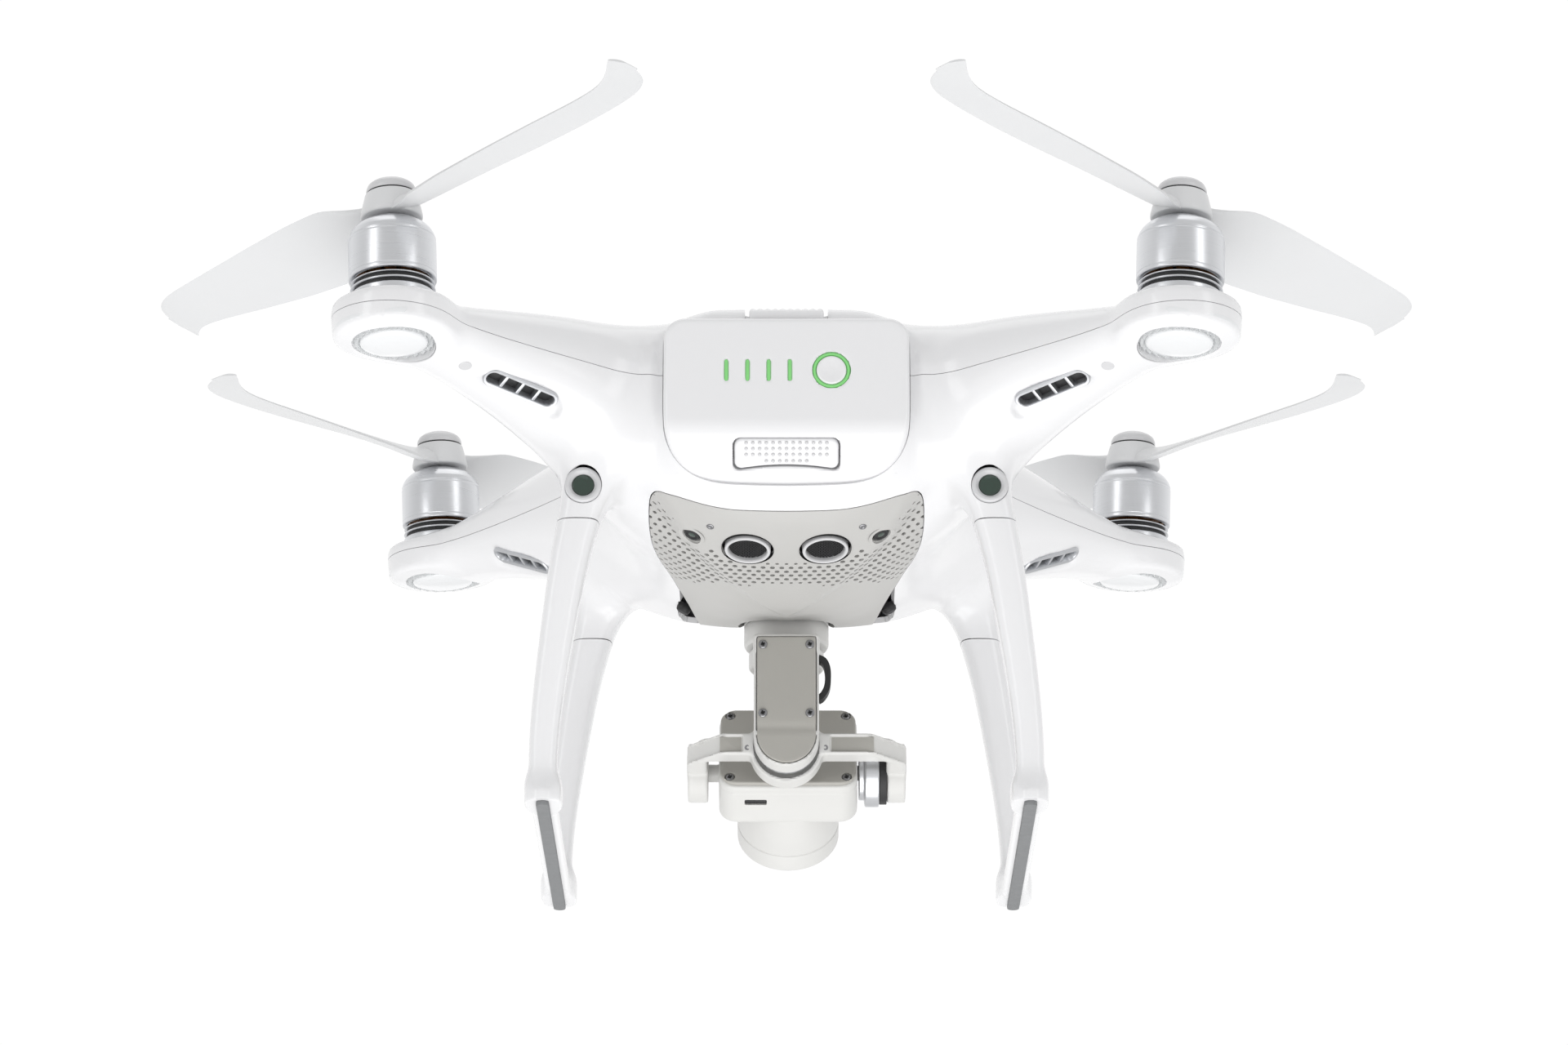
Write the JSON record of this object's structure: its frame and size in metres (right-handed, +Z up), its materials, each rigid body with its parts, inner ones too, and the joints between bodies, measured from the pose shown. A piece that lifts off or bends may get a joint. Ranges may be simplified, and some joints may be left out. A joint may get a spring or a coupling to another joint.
{
  "type": "quadcopter drone",
  "caption": "White quadcopter drone with arms, two-blade propellers, skid landing gear, slide-out battery and a camera on a three-axis gimbal.",
  "frame": {"origin": "on the ground under the centre of the motor square", "axes": "+X right seen from behind, +Y forward in flight, +Z up"},
  "size_m": [0.4154, 0.45, 0.1914],
  "materials": {
    "white_shell": "gloss moulded shell",
    "belly_grey": "fine satin texture",
    "gear_white": "gloss moulded",
    "pad_rubber": "soft grey rubber",
    "motor_metal": "satin turned",
    "winding": "enamelled copper",
    "blade_white": "semi-gloss",
    "hub_white": "gloss with a dark ring",
    "lamp_lens": "clear with fine ribs",
    "circuit_board": "solder mask",
    "dark_glass": "dark green coated",
    "sensor_ring": "satin",
    "black_trim": "matte black",
    "gimbal_metal": "warm light grey satin",
    "gimbal_cover": "warm grey satin",
    "screw_steel": "dark steel",
    "vent_metal": "satin",
    "battery_white": "gloss moulded",
    "cell_wrap": "film wrap",
    "light_green": "lit green",
    "damper_rubber": "soft black rubber",
    "carbon_plate": "matte"
  },
  "bodies": {
    "airframe": {"upper_shell": "white_shell", "lower_shell": "white_shell", "belly_cover": "belly_grey", "belly_screws": "screw_steel", "arm_vents": "vent_metal", "led_lenses": "lamp_lens", "led_boards": "circuit_board", "motor_bases": "motor_metal", "motor_stators": "winding", "landing_gear_left": "gear_white", "landing_gear_right": "gear_white", "skid_pad_left": "pad_rubber", "skid_pad_right": "pad_rubber", "rear_sensors": "sensor_ring", "front_sensors": "sensor_ring", "sensor_windows": "dark_glass", "ultrasonic_rings": "sensor_ring", "ultrasonic_meshes": "black_trim", "belly_cameras": "black_trim", "main_board": "circuit_board", "esc_board": "circuit_board", "gps_module": "gimbal_cover", "battery_connector": "black_trim", "damper_plate": "carbon_plate", "dampers": "damper_rubber", "yaw_motor": "gimbal_metal"},
    "battery": {"battery_case": "battery_white", "battery_cap": "battery_white", "battery_cells": "cell_wrap", "level_lights": "light_green", "button_light_ring": "light_green"},
    "power_key": {"power_button": "battery_white"},
    "latch_top": {"upper_latch": "battery_white"},
    "latch_bottom": {"lower_latch": "battery_white"},
    "rotor_rl": {"bell_rl": "motor_metal", "propeller_rl": "blade_white", "hub_cap_rl": "hub_white"},
    "rotor_rr": {"bell_rr": "motor_metal", "propeller_rr": "blade_white", "hub_cap_rr": "hub_white"},
    "rotor_fl": {"bell_fl": "motor_metal", "propeller_fl": "blade_white", "hub_cap_fl": "hub_white"},
    "rotor_fr": {"bell_fr": "motor_metal", "propeller_fr": "blade_white", "hub_cap_fr": "hub_white"},
    "gimbal_yaw": {"yaw_arm": "gimbal_metal", "arm_cover": "gimbal_cover", "arm_screws": "screw_steel", "ribbon_cable": "black_trim", "roll_motor": "carbon_plate"},
    "gimbal_roll": {"roll_yoke": "gimbal_metal", "tilt_motor": "motor_metal"},
    "camera": {"camera_shell": "gimbal_metal", "camera_back": "gimbal_cover", "back_screws": "screw_steel", "lens_barrel": "gimbal_metal", "lens_glass": "dark_glass"}
  },
  "joints": [
    {"name": "prop_spin_rl", "type": "hinge", "parent": "airframe", "child": "rotor_rl", "pos_m": [-0.12374, -0.12374, 0.1471], "axis": [-0.0418, 0.0419, 0.9982], "continuous": true},
    {"name": "prop_spin_rr", "type": "hinge", "parent": "airframe", "child": "rotor_rr", "pos_m": [0.12374, -0.12374, 0.1471], "axis": [0.0418, 0.0419, 0.9982], "continuous": true},
    {"name": "prop_spin_fl", "type": "hinge", "parent": "airframe", "child": "rotor_fl", "pos_m": [-0.12374, 0.12374, 0.1471], "axis": [-0.0418, -0.0419, 0.9982], "continuous": true},
    {"name": "prop_spin_fr", "type": "hinge", "parent": "airframe", "child": "rotor_fr", "pos_m": [0.12374, 0.12374, 0.1471], "axis": [0.0418, -0.0419, 0.9982], "continuous": true},
    {"name": "gimbal_yaw", "type": "hinge", "parent": "airframe", "child": "gimbal_yaw", "pos_m": [0, 0.02, 0.0782], "axis": [0, 0, 1], "range_deg": [-30, 30]},
    {"name": "gimbal_roll", "type": "hinge", "parent": "gimbal_yaw", "child": "gimbal_roll", "pos_m": [0, 0.02, 0.0424], "axis": [0, 1, 0], "range_deg": [-35, 35]},
    {"name": "camera_tilt", "type": "hinge", "parent": "gimbal_roll", "child": "camera", "pos_m": [0, 0.047, 0.0424], "axis": [1, 0, 0], "range_deg": [-60, 60]},
    {"name": "battery_slide", "type": "slide", "parent": "airframe", "child": "battery", "axis": [0, -1, 0], "range_m": [0, 0.115]},
    {"name": "power_press", "type": "slide", "parent": "battery", "child": "power_key", "axis": [0, 1, 0], "range_m": [0, 0.0008], "stiffness_N_per_m": 800, "springref_m": -0.0008},
    {"name": "upper_latch_press", "type": "slide", "parent": "battery", "child": "latch_top", "axis": [0, 0, -1], "range_m": [0, 0.002], "stiffness_N_per_m": 600, "springref_m": -0.001},
    {"name": "lower_latch_press", "type": "slide", "parent": "battery", "child": "latch_bottom", "axis": [0, 1, 0], "range_m": [0, 0.0015], "stiffness_N_per_m": 600, "springref_m": -0.001}
  ]
}
